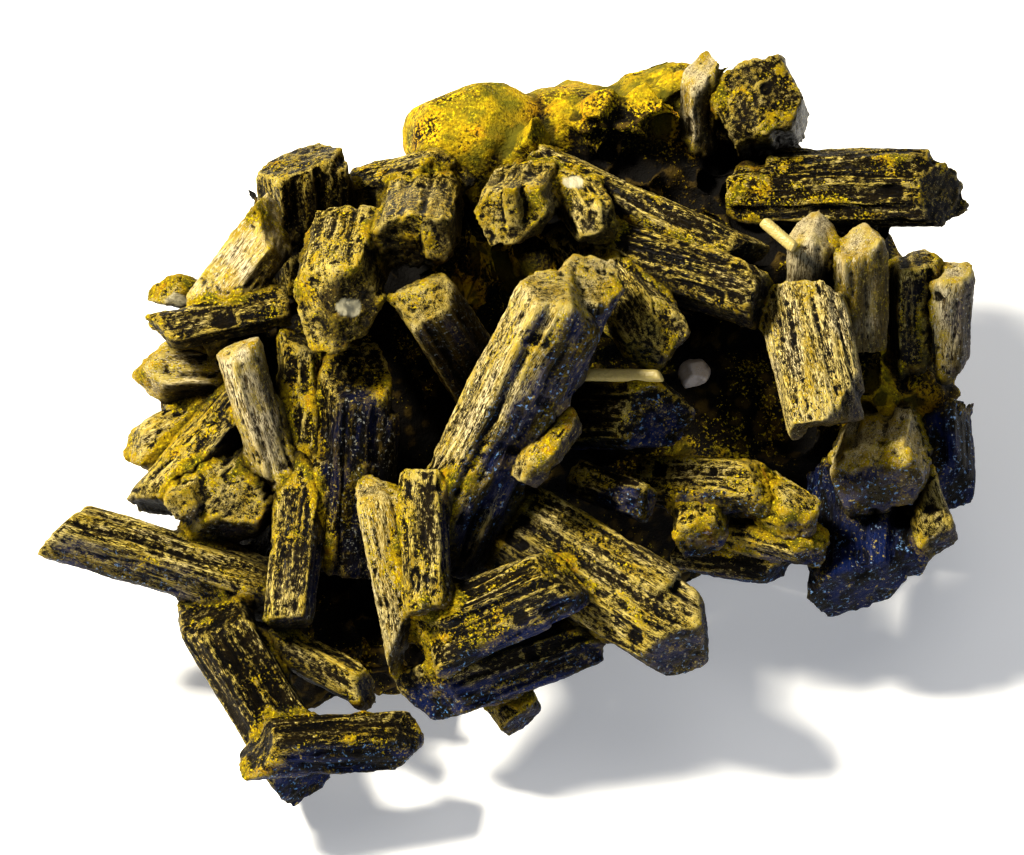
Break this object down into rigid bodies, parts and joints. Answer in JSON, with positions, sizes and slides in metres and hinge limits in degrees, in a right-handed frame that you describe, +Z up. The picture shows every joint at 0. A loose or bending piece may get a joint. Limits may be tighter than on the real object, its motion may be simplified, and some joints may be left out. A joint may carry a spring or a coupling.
{
  "type": "mineral specimen",
  "caption": "Cabinet mineral specimen: a jumble of long striated olive-black epidote prisms grown over a wedge of yellow-green rock.",
  "frame": {"origin": "centre of the bounding box's underside, on the ground the specimen stands on", "axes": "+X along the specimen's longest side, to the right of the crystal-covered face; +Y towards the back, away from that face; +Z up from the flat broken underside"},
  "size_m": [0.0942, 0.0766, 0.0465],
  "materials": {
    "beam_crystal": "striated vitreous olive-black crystal",
    "column_ridged_crystal": "striated olive-brown crystal crusted with fine yellow-green grains",
    "column_tall_crystal": "striated vitreous olive-black crystal",
    "cream_lath_middle": "smooth opaque cream mineral",
    "cream_lath_upper": "smooth opaque cream mineral",
    "dome_back_crystal": "striated vitreous olive-black crystal",
    "dome_crystal": "striated olive-brown crystal crusted with fine yellow-green grains",
    "druse_head_crystal": "striated olive-brown crystal crusted with fine yellow-green grains",
    "fan_left_crystal": "striated pale tan-brown crystal with worn faces",
    "fan_right_crystal": "striated olive-brown crystal crusted with fine yellow-green grains",
    "foot_prism_crystal": "striated vitreous olive-black crystal",
    "front_log_crystal": "striated olive-brown crystal crusted with fine yellow-green grains",
    "front_lower_crystal": "striated vitreous olive-black crystal",
    "front_ridge_crystal": "striated olive-brown crystal crusted with fine yellow-green grains",
    "front_upper_crystal": "striated olive-brown crystal crusted with fine yellow-green grains",
    "hollow_lath_crystal": "striated olive-brown crystal crusted with fine yellow-green grains",
    "knob_crystal": "striated olive-brown crystal crusted with fine yellow-green grains",
    "leaf_crystal": "striated olive-brown crystal crusted with fine yellow-green grains",
    "left_arm_crystal": "striated olive-brown crystal crusted with fine yellow-green grains",
    "left_blade_crystal": "striated pale tan-brown crystal with worn faces",
    "left_block_crystal": "striated olive-brown crystal crusted with fine yellow-green grains",
    "left_corner_crystal": "striated pale tan-brown crystal with worn faces",
    "left_diagonal_crystal": "striated olive-brown crystal crusted with fine yellow-green grains",
    "left_roof_crystal": "striated pale tan-brown crystal with worn faces",
    "left_slat_crystal": "striated olive-brown crystal crusted with fine yellow-green grains",
    "left_stub_crystal": "striated olive-brown crystal crusted with fine yellow-green grains",
    "left_wedge_crystal": "striated olive-brown crystal crusted with fine yellow-green grains",
    "leg_left_crystal": "striated vitreous olive-black crystal",
    "leg_right_crystal": "striated pale tan-brown crystal with worn faces",
    "long_lower_crystal": "striated vitreous olive-black crystal",
    "long_upper_crystal": "striated olive-brown crystal crusted with fine yellow-green grains",
    "matrix": "rough granular yellow-green epidote rock",
    "mid_bar_crystal": "striated olive-brown crystal crusted with fine yellow-green grains",
    "mid_brick_crystal": "striated olive-brown crystal crusted with fine yellow-green grains",
    "mid_oval_crystal": "striated olive-brown crystal crusted with fine yellow-green grains",
    "mid_peg_crystal": "striated olive-brown crystal crusted with fine yellow-green grains",
    "mid_tail_crystal": "striated olive-brown crystal crusted with fine yellow-green grains",
    "mid_under_crystal": "striated vitreous olive-black crystal",
    "pale_column_crystal": "striated pale tan-brown crystal with worn faces",
    "pale_left_crystal": "striated pale tan-brown crystal with worn faces",
    "pale_right_crystal": "striated pale tan-brown crystal with worn faces",
    "prop_crystal": "striated vitreous olive-black crystal",
    "quartz_lump": "smooth opaque cream mineral",
    "ragged_crystal": "striated olive-brown crystal crusted with fine yellow-green grains",
    "ragged_small_crystal": "striated olive-brown crystal crusted with fine yellow-green grains",
    "right_flank_crystal": "striated vitreous olive-black crystal",
    "right_trunk_crystal": "striated pale tan-brown crystal with worn faces",
    "rim_block_crystal": "striated olive-brown crystal crusted with fine yellow-green grains",
    "rim_cap_crystal": "striated pale tan-brown crystal with worn faces",
    "shelf_crystal": "striated vitreous olive-black crystal",
    "spear_crystal": "striated olive-brown crystal crusted with fine yellow-green grains",
    "tongue_crystal": "striated vitreous olive-black crystal",
    "top_block_crystal": "striated vitreous olive-black crystal",
    "top_post_crystal": "striated olive-brown crystal crusted with fine yellow-green grains",
    "trunk_crystal": "striated olive-brown crystal crusted with fine yellow-green grains",
    "under_stub_crystal": "striated olive-brown crystal crusted with fine yellow-green grains"
  },
  "bodies": {
    "root": {"beam_crystal": "beam_crystal", "column_ridged_crystal": "column_ridged_crystal", "column_tall_crystal": "column_tall_crystal", "cream_lath_middle": "cream_lath_middle", "cream_lath_upper": "cream_lath_upper", "dome_back_crystal": "dome_back_crystal", "dome_crystal": "dome_crystal", "druse_head_crystal": "druse_head_crystal", "fan_left_crystal": "fan_left_crystal", "fan_right_crystal": "fan_right_crystal", "foot_prism_crystal": "foot_prism_crystal", "front_log_crystal": "front_log_crystal", "front_lower_crystal": "front_lower_crystal", "front_ridge_crystal": "front_ridge_crystal", "front_upper_crystal": "front_upper_crystal", "hollow_lath_crystal": "hollow_lath_crystal", "knob_crystal": "knob_crystal", "leaf_crystal": "leaf_crystal", "left_arm_crystal": "left_arm_crystal", "left_blade_crystal": "left_blade_crystal", "left_block_crystal": "left_block_crystal", "left_corner_crystal": "left_corner_crystal", "left_diagonal_crystal": "left_diagonal_crystal", "left_roof_crystal": "left_roof_crystal", "left_slat_crystal": "left_slat_crystal", "left_stub_crystal": "left_stub_crystal", "left_wedge_crystal": "left_wedge_crystal", "leg_left_crystal": "leg_left_crystal", "leg_right_crystal": "leg_right_crystal", "long_lower_crystal": "long_lower_crystal", "long_upper_crystal": "long_upper_crystal", "matrix": "matrix", "mid_bar_crystal": "mid_bar_crystal", "mid_brick_crystal": "mid_brick_crystal", "mid_oval_crystal": "mid_oval_crystal", "mid_peg_crystal": "mid_peg_crystal", "mid_tail_crystal": "mid_tail_crystal", "mid_under_crystal": "mid_under_crystal", "pale_column_crystal": "pale_column_crystal", "pale_left_crystal": "pale_left_crystal", "pale_right_crystal": "pale_right_crystal", "prop_crystal": "prop_crystal", "quartz_lump": "quartz_lump", "ragged_crystal": "ragged_crystal", "ragged_small_crystal": "ragged_small_crystal", "right_flank_crystal": "right_flank_crystal", "right_trunk_crystal": "right_trunk_crystal", "rim_block_crystal": "rim_block_crystal", "rim_cap_crystal": "rim_cap_crystal", "shelf_crystal": "shelf_crystal", "spear_crystal": "spear_crystal", "tongue_crystal": "tongue_crystal", "top_block_crystal": "top_block_crystal", "top_post_crystal": "top_post_crystal", "trunk_crystal": "trunk_crystal", "under_stub_crystal": "under_stub_crystal"}
  },
  "joints": []
}
